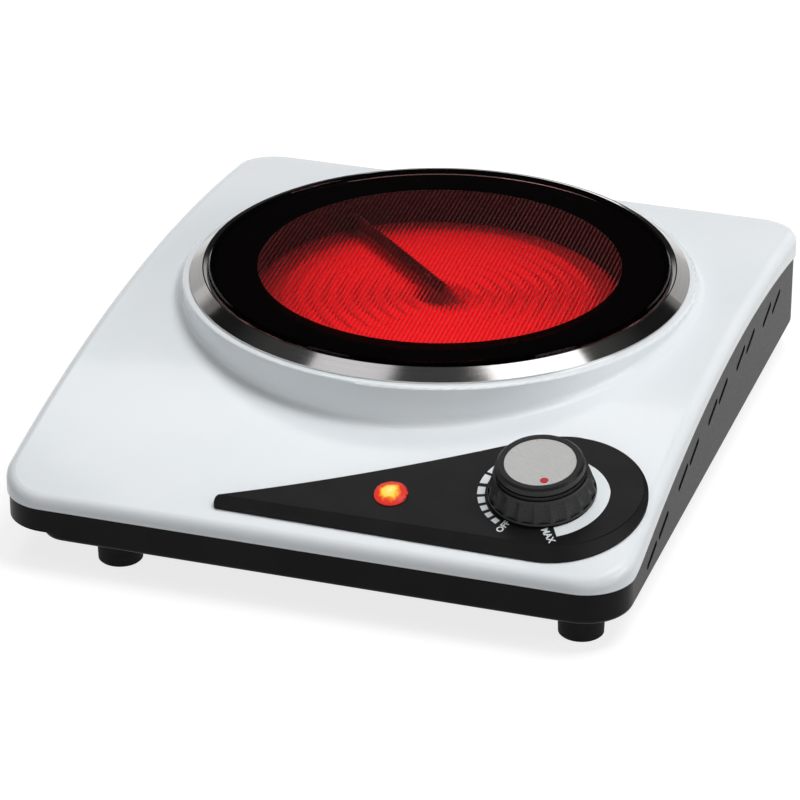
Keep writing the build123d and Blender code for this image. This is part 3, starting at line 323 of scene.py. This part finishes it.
def glow_share(m):
    """How much of the full glow a point of the heater has.

    It has less at the rim and the back, a painted shade, and little under the rod and in the
    middle, a painted shadow of the rod.
    """
    x, y, _ = m.split(m.from_spot(RING_AXIS))
    r, _ = m.radius(RING_AXIS)
    # Painted shade: the glow falls off towards the rim and the back.
    rim = m.spread(r, 1.0, RIM_SHARE, from_low=40 * MM, from_high=72 * MM)
    depth = m.spread(y, FRONT_SHARE, BACK_SHARE, from_low=-50 * MM, from_high=55 * MM)
    # Painted shadow of the rod: the glow drops along the rod and around the middle.
    c, s = math.cos(ROD_ANGLE), math.sin(ROD_ANGLE)
    along = m.calc("ADD", m.times(x, c), m.times(y, s))
    across = m.calc("ABSOLUTE", m.calc("SUBTRACT", m.times(y, c), m.times(x, s)))
    beside = m.spread(across, SHADE_SHARE, 1.0, from_low=2.5 * MM, from_high=7 * MM)
    beyond = m.spread(along, 1.0, 0.0, from_low=-8 * MM, from_high=0.0)
    middle = m.spread(r, SHADE_SHARE, 1.0, from_low=6 * MM, from_high=12.5 * MM)
    shade = m.calc("MINIMUM", m.calc("MAXIMUM", beside, beyond), middle)
    return m.times(m.times(rim, depth), shade)


def painted_glow_floor():
    """Insulating floor with a painted glow that stands in for the light of the winding."""
    m = Shade("painted_glow_floor")
    specks = m.noise(scale=1200, detail=4)
    m.drift(specks, (0.30, 0.22, 0.20), (0.40, 0.31, 0.28))
    glow = m.times(glow_share(m), m.spread(specks, 0.80, 1.0))
    # Painted light: the floor's glow is the winding's light painted as emission, with the
    # painted shade of glow_share.
    m.put(rough=0.95, glow=GLOW_RED, glow_power=m.times(glow, GLOW_POWER * FLOOR_SHARE))
    m.bump(specks, strength=0.3, distance=0.2 * MM)
    return m.material


def hot_wire():
    """Glowing resistance wire."""
    m = Shade("hot_wire")
    waves = m.noise(scale=700, detail=2)
    m.drift(waves, (0.12, 0.03, 0.02), (0.20, 0.06, 0.04))
    # The wire's glow carries the painted shade and the rod's painted shadow of glow_share.
    glow = m.times(glow_share(m), m.spread(waves, 0.9, 1.1))
    m.put(rough=0.6, metal=0.6, glow=GLOW_RED, glow_power=m.times(glow, GLOW_POWER))
    return m.material


def fluted_plastic():
    """Black moulding, lighter on its upright sides as a painted sheen and deeper black on top
    as painted shade.
    """
    m = Shade("black_knob")
    normal = m.add("ShaderNodeNewGeometry").outputs["Normal"]
    painted_shade_upward = m.spread(m.split(normal)[2], from_low=0.25, from_high=0.75)
    fine = m.noise(scale=2200, detail=3)
    # Painted sheen and shade: a lighter black on the upright sides, a deeper black on top.
    m.put(base=m.mix(painted_shade_upward, (0.046, 0.046, 0.047), (0.005, 0.005, 0.0052)), spec=0.2)
    m.gloss(fine, 0.24, 0.32)
    m.bump(fine, strength=0.03, distance=0.03 * MM)
    return m.material


def brushed_disc():
    """Aluminium brushed straight across the knob's disc."""
    m = Shade("disc_aluminium")
    m.put(metal=1.0)
    turn = m.add("ShaderNodeMapping", vector_type="POINT")
    centre = tuple(arch_point(KNOB_X, KNOB_LEAN, PANEL_TOP))
    m.link(m.from_spot(centre), turn.inputs["Vector"])
    turn.inputs["Rotation"].default_value = (KNOB_LEAN, 0, BRUSH_TURN)
    lines = m.noise(scale=1.0, detail=5, stretch=BRUSH_STRETCH, source=turn.outputs["Vector"])
    m.drift(lines, (0.58, 0.575, 0.57), (0.88, 0.873, 0.866))
    m.gloss(lines, 0.34, 0.48)
    m.bump(lines, strength=0.10, distance=0.02 * MM)
    return m.material


def lamp_lens():
    """Lit amber lens, yellow in the middle and red at its edge."""
    m = Shade("amber_lens")
    centre = arch_point(LAMP_X, LAMP_LEAN, PANEL_TOP) - Vector((0, LENS_FORWARD, 0))
    away, _ = m.radius(tuple(centre))
    specks = m.noise(scale=430, detail=2)
    ragged = m.spread(specks, -LENS_RAGGED, LENS_RAGGED)
    ramp = m.add("ShaderNodeValToRGB")
    m.link(m.calc("ADD", m.calc("DIVIDE", away, LENS_RADIUS), ragged), ramp.inputs["Fac"])
    fill_ramp(ramp, LENS_STOPS)
    m.drift(specks, (0.10, 0.010, 0.006), (0.15, 0.018, 0.010))
    m.put(glow=ramp.outputs["Color"], glow_power=0.95, rough=0.25, spec=0.2)
    m.bump(m.noise(scale=500, detail=1), strength=0.12, distance=0.2 * MM)
    return m.material


def printed(name, colour):
    """Thin print or paint."""
    m = Shade(name)
    ink = m.noise(scale=2600, detail=3)
    m.drift(ink, tone(colour, 0.93), tone(colour, 1.03))
    m.gloss(ink, 0.38, 0.5)
    m.bump(ink, strength=0.05, distance=0.01 * MM)
    return m.material


MATERIALS = {
    "white_enamel": enamel(),
    "black_pan": plain(
        "black_pan", grey(0.0095), rough=0.34, grain=1800, bump=0.2, spec=0.08),
    "black_panel": plain(
        "black_panel", (0.0125, 0.012, 0.012), rough=0.36, grain=2600, bump=0.08, spec=0.1),
    "black_knob": fluted_plastic(),
    "ring_steel": ring_steel(),
    "dark_glass": dark_glass(),
    # The insulation's dark red tone is painted shade and painted red glow of the heater's
    # walls.
    "insulation": fibre("insulation", (0.05, 0.017, 0.019), bump=0.5),
    "hot_wire": hot_wire(),
    "sheet_steel": plain(
        "sheet_steel", (0.52, 0.53, 0.54), rough=0.34, grain=500, bump=0.10, metal=1.0),
    "screw_steel": plain(
        "screw_steel", (0.56, 0.56, 0.57), rough=0.30, grain=1500, bump=0.10, metal=1.0),
    "disc_aluminium": brushed_disc(),
    "black_rubber": plain(
        "black_rubber", grey(0.005), rough=0.72, grain=1500, bump=0.35, spec=0.2),
    "amber_lens": lamp_lens(),
    "lamp_glow": plain(
        "lamp_glow", (0.95, 0.55, 0.20), rough=0.2, grain=900, bump=0.1,
        glow=(1.0, 0.5, 0.12), glow_power=2.0),
    "white_ceramic": plain(
        "white_ceramic", (0.78, 0.76, 0.71), rough=0.5, grain=1100, bump=0.2),
    "brown_moulding": plain(
        "brown_moulding", (0.10, 0.055, 0.035), rough=0.45, grain=1400, bump=0.2),
    "brass_parts": plain(
        "brass_parts", (0.66, 0.47, 0.20), rough=0.28, grain=1200, bump=0.1, metal=1.0),
    "seal_fibre": fibre("seal_fibre", (0.10, 0.095, 0.09), bump=0.6),
    "lead_brown": plain("lead_brown", (0.16, 0.07, 0.035), rough=0.5, grain=1600, bump=0.15),
    "lead_white": plain("lead_white", (0.70, 0.70, 0.67), rough=0.45, grain=1600, bump=0.15),
}


def paint(piece, material):
    piece.data.materials.clear()
    piece.data.materials.append(material)


slots = {row["node"]: row["material_slot"] for row in frame["record"]["subparts"]}
for name, node in NODES.items():
    paint(node, MATERIALS[slots[name]])
paint(NODES["heater_base_board"], painted_glow_floor())
dull_tube = plain("dull_tube", (0.15, 0.09, 0.09), rough=0.7, grain=900, bump=0.2, spec=0.1)
paint(NODES["limiter_rod"], dull_tube)


# New pieces
def add_object(name, data):
    thing = bpy.data.objects.new(name, data)
    bpy.context.scene.collection.objects.link(thing)
    return thing


def piece_from(name, mesh, body, slot, material, *stands_for):
    """A new piece that rides on a body and takes a material; the slot it is given is not used.
    """
    piece = add_object(name, mesh)
    paint(piece, material)
    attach(piece, body)
    if stands_for:
        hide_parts(*stands_for)


def mesh_of(name, build):
    """A mesh filled in by a function that is given an empty bmesh."""
    shape = bmesh.new()
    build(shape)
    bmesh.ops.recalc_face_normals(shape, faces=shape.faces)
    mesh = bpy.data.meshes.new(name)
    shape.to_mesh(mesh)
    shape.free()
    return mesh


def join_rings(shape, rings):
    """Faces between rings of points, closed at both ends."""
    for a, b in zip(rings, rings[1:]):
        for k in range(len(a)):
            after = (k + 1) % len(a)
            shape.faces.new((a[k], a[after], b[after], b[k]))
    shape.faces.new(rings[0])
    shape.faces.new(reversed(rings[-1]))


# Winding: a crimped ribbon on edge, wound along the frame's half turns
COIL_INNER = 10.0 * MM
COIL_STEP = 3.0 * MM
COIL_HALF_TURNS = 18
CRIMP_PITCH = 3.2 * MM
CRIMP_SWING = 1.05 * MM
CRIMP_STEPS = 8
RIBBON_LOW = FLOOR_Z + 0.1 * MM
RIBBON_HIGH = FLOOR_Z + 3.2 * MM
RIBBON_HALF = 0.22 * MM
RIBBON_CORNERS = ((1, RIBBON_LOW), (1, RIBBON_HIGH), (-1, RIBBON_HIGH), (-1, RIBBON_LOW))


def ribbon(shape):
    spots = []
    side, centre, run = 1, 0.0, 0.0
    for turn in range(COIL_HALF_TURNS):
        radius = COIL_INNER + turn * COIL_STEP
        length = math.pi * radius
        steps = round(length / CRIMP_PITCH) * CRIMP_STEPS
        for step in range(steps):
            angle = math.pi * step / steps + (0 if side > 0 else math.pi)
            phase = 2 * math.pi * (run + length * step / steps) / CRIMP_PITCH
            swing = radius + CRIMP_SWING * math.sin(phase)
            across = Vector((math.cos(angle), math.sin(angle), 0))
            spots.append(Vector((centre, RING_Y, 0)) + across * swing)
        run += length
        centre += side * COIL_STEP
        side = -side
    rings = []
    for k, spot in enumerate(spots):
        ahead = spots[min(k + 1, len(spots) - 1)] - spots[max(k - 1, 0)]
        normal = Vector((ahead.y, -ahead.x, 0)).normalized() * RIBBON_HALF
        corners = [spot + normal * sign + Vector((0, 0, z)) for sign, z in RIBBON_CORNERS]
        rings.append([shape.verts.new(corner) for corner in corners])
    join_rings(shape, rings)


piece_from("heating_ribbon", mesh_of("heating_ribbon", ribbon), "housing", "hot_wire",
           MATERIALS["hot_wire"], "heating_coil")

# Printed scale on the panel around the knob, laid on the arch
PRINT_LIFT = PANEL_TOP + 0.03 * MM
PRINT_THICK = 0.05 * MM
PRINT_BOLD = 0.025
WHITE_PRINT = printed("white_print", (0.80, 0.84, 0.86))
RED_PAINT = printed("red_paint", (0.45, 0.012, 0.02))
BAND_FROM, BAND_TO = 68.0, -62.0
BAND_INNER, BAND_WIDTH = 19.6 * MM, 5.0 * MM
BAND_START, BAND_GROWTH = 0.5, 1.2
BAND_STEPS = 48
DASH_MIDDLE = 22.05 * MM
DASH_STEPS = 4
# Each dash: where it starts and ends around the knob, in degrees, and its width in millimetres
DASHES = (
    (152.5, 164.0, 2.9),
    (167.5, 180.0, 2.9),
    (185.0, 195.5, 2.8),
    (199.5, 208.0, 2.6),
    (212.0, 219.0, 2.5),
    (223.0, 229.5, 2.4),
    (233.5, 240.0, 2.3),
)


def on_panel(x, y, lift):
    """A point of the panel, from distances right of the knob's axis and up the slope."""
    return arch_point(KNOB_X + x, KNOB_LEAN + y / (ARCH_RADIUS + PANEL_TOP), lift)


def around(radius, degrees):
    turn = math.radians(degrees)
    return radius * math.cos(turn), radius * math.sin(turn)


def strip(shape, pairs):
    """A thin printed strip between two rows of points on the panel."""
    low, high = (
        [[shape.verts.new(on_panel(*point, lift)) for point in pair] for pair in pairs]
        for lift in (PRINT_LIFT, PRINT_LIFT + PRINT_THICK)
    )
    for k in range(len(pairs) - 1):
        shape.faces.new((high[k][0], high[k][1], high[k + 1][1], high[k + 1][0]))
        shape.faces.new((low[k][0], low[k + 1][0], low[k + 1][1], low[k][1]))
        shape.faces.new((low[k][0], high[k][0], high[k + 1][0], low[k + 1][0]))
        shape.faces.new((low[k][1], low[k + 1][1], high[k + 1][1], high[k][1]))
    for k in (0, -1):
        shape.faces.new((low[k][0], low[k][1], high[k][1], high[k][0]))


def arc_pairs(edges, first, last, steps):
    """Pairs of points along an arc, from a function that gives both radii at a share of it."""
    pairs = []
    for k in range(steps + 1):
        share = k / steps
        turn = first + (last - first) * share
        inner, outer = edges(share)
        pairs.append((around(inner, turn), around(outer, turn)))
    return pairs


def band_edges(share):
    """The band starts at half its width and soon reaches all of it."""
    return BAND_INNER, BAND_INNER + BAND_WIDTH * min(1.0, BAND_START + BAND_GROWTH * share)


def scale_band(shape):
    strip(shape, arc_pairs(band_edges, BAND_FROM, BAND_TO, BAND_STEPS))


def scale_dashes(shape):
    for first, last, width in DASHES:
        edges = (DASH_MIDDLE - width * MM / 2, DASH_MIDDLE + width * MM / 2)
        strip(shape, arc_pairs(lambda share: edges, first, last, DASH_STEPS))


for name, build in (("scale_band", scale_band), ("scale_dashes", scale_dashes)):
    piece_from(name, mesh_of(name, build), "housing", "lead_white", WHITE_PRINT)


def word(name, text, radius, degrees, height, turn):
    """A printed word on the panel, at an angle around the knob and turned by another."""
    curve = bpy.data.curves.new(name, "FONT")
    curve.body = text
    curve.size = height
    curve.align_x = "CENTER"
    curve.align_y = "CENTER"
    curve.extrude = PRINT_THICK / 2
    curve.offset = height * PRINT_BOLD
    maker = add_object(name, curve)
    bpy.context.view_layer.update()
    drawn = maker.evaluated_get(bpy.context.evaluated_depsgraph_get())
    mesh = bpy.data.meshes.new_from_object(drawn)
    bpy.data.objects.remove(maker)
    x0, y0 = around(radius, degrees)
    c, s = around(1.0, turn)
    for vertex in mesh.vertices:
        u, v, w = vertex.co
        lift = PRINT_LIFT + PRINT_THICK / 2 + w
        vertex.co = on_panel(x0 + u * c - v * s, y0 + u * s + v * c, lift)
    mesh.name = name
    piece_from(name, mesh, "housing", "lead_white", WHITE_PRINT)


word("word_off", "OFF", radius=22.6 * MM, degrees=248.0, height=3.5 * MM, turn=70)
word("word_max", "MAX", radius=23.4 * MM, degrees=291.0, height=3.7 * MM, turn=308)

# Red mark on the knob's disc, a low dome
DOT_RADIUS = 1.55 * MM
DOT_AWAY = 10.3 * MM
DOT_ANGLE = -66.0
DOT_SIDES = 32
DOT_DOME = ((1.0, 0.0), (0.96, 0.05 * MM), (0.75, 0.09 * MM), (0.4, 0.11 * MM))


def red_dot(shape):
    place = arch_matrix(KNOB_X, KNOB_LEAN, PANEL_TOP)
    x0, y0 = around(DOT_AWAY, DOT_ANGLE)
    rings = []
    for share, lift in DOT_DOME:
        ring = []
        for k in range(DOT_SIDES):
            u, v = around(DOT_RADIUS * share, 360 * k / DOT_SIDES)
            ring.append(shape.verts.new(place @ Vector((x0 + u, y0 + v, DISC_TOP + lift))))
        rings.append(ring)
    join_rings(shape, rings)


piece_from("knob_dot", mesh_of("knob_dot", red_dot), "knob", "amber_lens", RED_PAINT)

# Stage: a pale floor that keeps the shadow, and a pale background for the camera
FLOOR_HALF = 6.0
FLOOR_SEEN = 0.78
FLOOR_MIRRORED = 0.64
BACKGROUND = 0.97
# The room that lights and mirrors, from the horizon up
ROOM_STOPS = (
    (0.0, grey(0.62)),
    (0.33, grey(0.50)),
    (0.395, grey(0.012)),
    (0.60, grey(0.015)),
    (0.75, grey(0.06)),
    (1.0, (0.07, 0.07, 0.072)),
)
WHITE = (1, 1, 1, 1)


def floor_grid(shape):
    bmesh.ops.create_grid(shape, x_segments=1, y_segments=1, size=FLOOR_HALF)


def pale_floor():
    m = Shade("pale_floor")
    m.put(base=grey(0.30), rough=0.9, spec=0.0)
    paths = m.add("ShaderNodeLightPath").outputs
    seen = m.calc("MAXIMUM", paths["Is Camera Ray"], paths["Is Transmission Ray"])
    mirrored = m.times(paths["Is Glossy Ray"], FLOOR_MIRRORED)
    lit = m.add("ShaderNodeEmission")
    lit.inputs["Color"].default_value = WHITE
    m.link(m.calc("ADD", m.times(seen, FLOOR_SEEN), mirrored), lit.inputs["Strength"])
    both = m.add("ShaderNodeAddShader")
    m.link(m.bsdf.outputs["BSDF"], both.inputs[0])
    m.link(lit.outputs["Emission"], both.inputs[1])
    m.link(both.outputs["Shader"], m.out.inputs["Surface"])
    return m.material


floor = add_object("floor", mesh_of("floor", floor_grid))
paint(floor, pale_floor())

world = bpy.data.worlds.new("studio")
bpy.context.scene.world = world
world.use_nodes = True
sky, sky_link = world.node_tree.nodes, world.node_tree.links.new
height = sky.new("ShaderNodeSeparateXYZ")
sky_link(sky.new("ShaderNodeTexCoord").outputs["Generated"], height.inputs[0])
shade = sky.new("ShaderNodeValToRGB")
sky_link(height.outputs["Z"], shade.inputs["Fac"])
fill_ramp(shade, ROOM_STOPS)
room = sky["Background"]
sky_link(shade.outputs["Color"], room.inputs["Color"])
pale = sky.new("ShaderNodeBackground")
pale.inputs["Color"].default_value = WHITE
pale.inputs["Strength"].default_value = BACKGROUND
which = sky.new("ShaderNodeMixShader")
sky_link(sky.new("ShaderNodeLightPath").outputs["Is Camera Ray"], which.inputs["Fac"])
sky_link(room.outputs["Background"], which.inputs[1])
sky_link(pale.outputs["Background"], which.inputs[2])
sky_link(which.outputs["Shader"], sky["World Output"].inputs["Surface"])


# Soft studio light
def softbox(name, spot, aim, size, power, colour=(1, 1, 1), mirrored=True):
    """A soft lamp that shines from a spot to an aim, and may be kept out of reflections."""
    light = bpy.data.lights.new(name, "AREA")
    light.shape = "RECTANGLE"
    light.size, light.size_y = size
    light.energy = power
    light.color = colour
    lamp = add_object(name, light)
    lamp.location = spot
    lamp.rotation_mode = "QUATERNION"
    lamp.rotation_quaternion = (Vector(aim) - Vector(spot)).to_track_quat("-Z", "Y")
    lamp.visible_glossy = mirrored


softbox("right_box", spot=(0.50, 0.12, 1.5), aim=(0.02, 0.02, 0.04),
        size=(0.55, 0.8), power=13.6, mirrored=False)
softbox("rear_box", spot=(-0.70, 0.75, 1.4), aim=(-0.05, 0.05, 0.05),
        size=(0.7, 0.7), power=3.8, mirrored=False)
softbox("ring_box", spot=(0.60, 0.14, 1.5), aim=(0.02, 0.02, 0.04),
        size=(0.48, 0.8), power=2.6)
softbox("left_box", spot=(-0.56, -0.30, 1.5), aim=(0, 0, 0.04),
        size=(0.40, 0.7), power=0.8, colour=(0.97, 0.96, 1.0))
softbox("left_back_box", spot=(-1.40, 0.92, 0.72), aim=(-0.08, 0.05, 0.06),
        size=(0.5, 0.4), power=0.13)
softbox("low_box", spot=(0.2, -1.9, 0.55), aim=(0, -0.1, 0.03),
        size=(1.2, 0.5), power=4.8, mirrored=False)
softbox("back_box", spot=(-0.45, 0.95, 1.45), aim=(0.05, -0.1, 0.04),
        size=(0.7, 0.6), power=2.2)
softbox("side_box", spot=(1.7, -0.1, 0.75), aim=(0.1, 0, 0.03),
        size=(0.9, 0.7), power=7.0)

# Camera at the photograph's viewing angle
CAMERA_SPOT = (0.4252, -1.3264, 0.7190)
CAMERA_AZIMUTH = math.radians(18.096)
CAMERA_ELEVATION = math.radians(26.758)
SENSOR_WIDTH = 36.0
FOCAL_LENGTH = 180.0
CLIP_END = 20.0

lens = bpy.data.cameras.new("camera")
lens.sensor_width = SENSOR_WIDTH
lens.lens = FOCAL_LENGTH
lens.clip_end = CLIP_END
camera = add_object("camera", lens)
level = math.cos(CAMERA_ELEVATION)
forward = Vector((
    -math.sin(CAMERA_AZIMUTH) * level,
    math.cos(CAMERA_AZIMUTH) * level,
    -math.sin(CAMERA_ELEVATION),
))
camera.rotation_mode = "QUATERNION"
camera.rotation_quaternion = forward.to_track_quat("-Z", "Y")
camera.location = CAMERA_SPOT
bpy.context.scene.camera = camera
bpy.context.scene.view_settings.view_transform = "Standard"
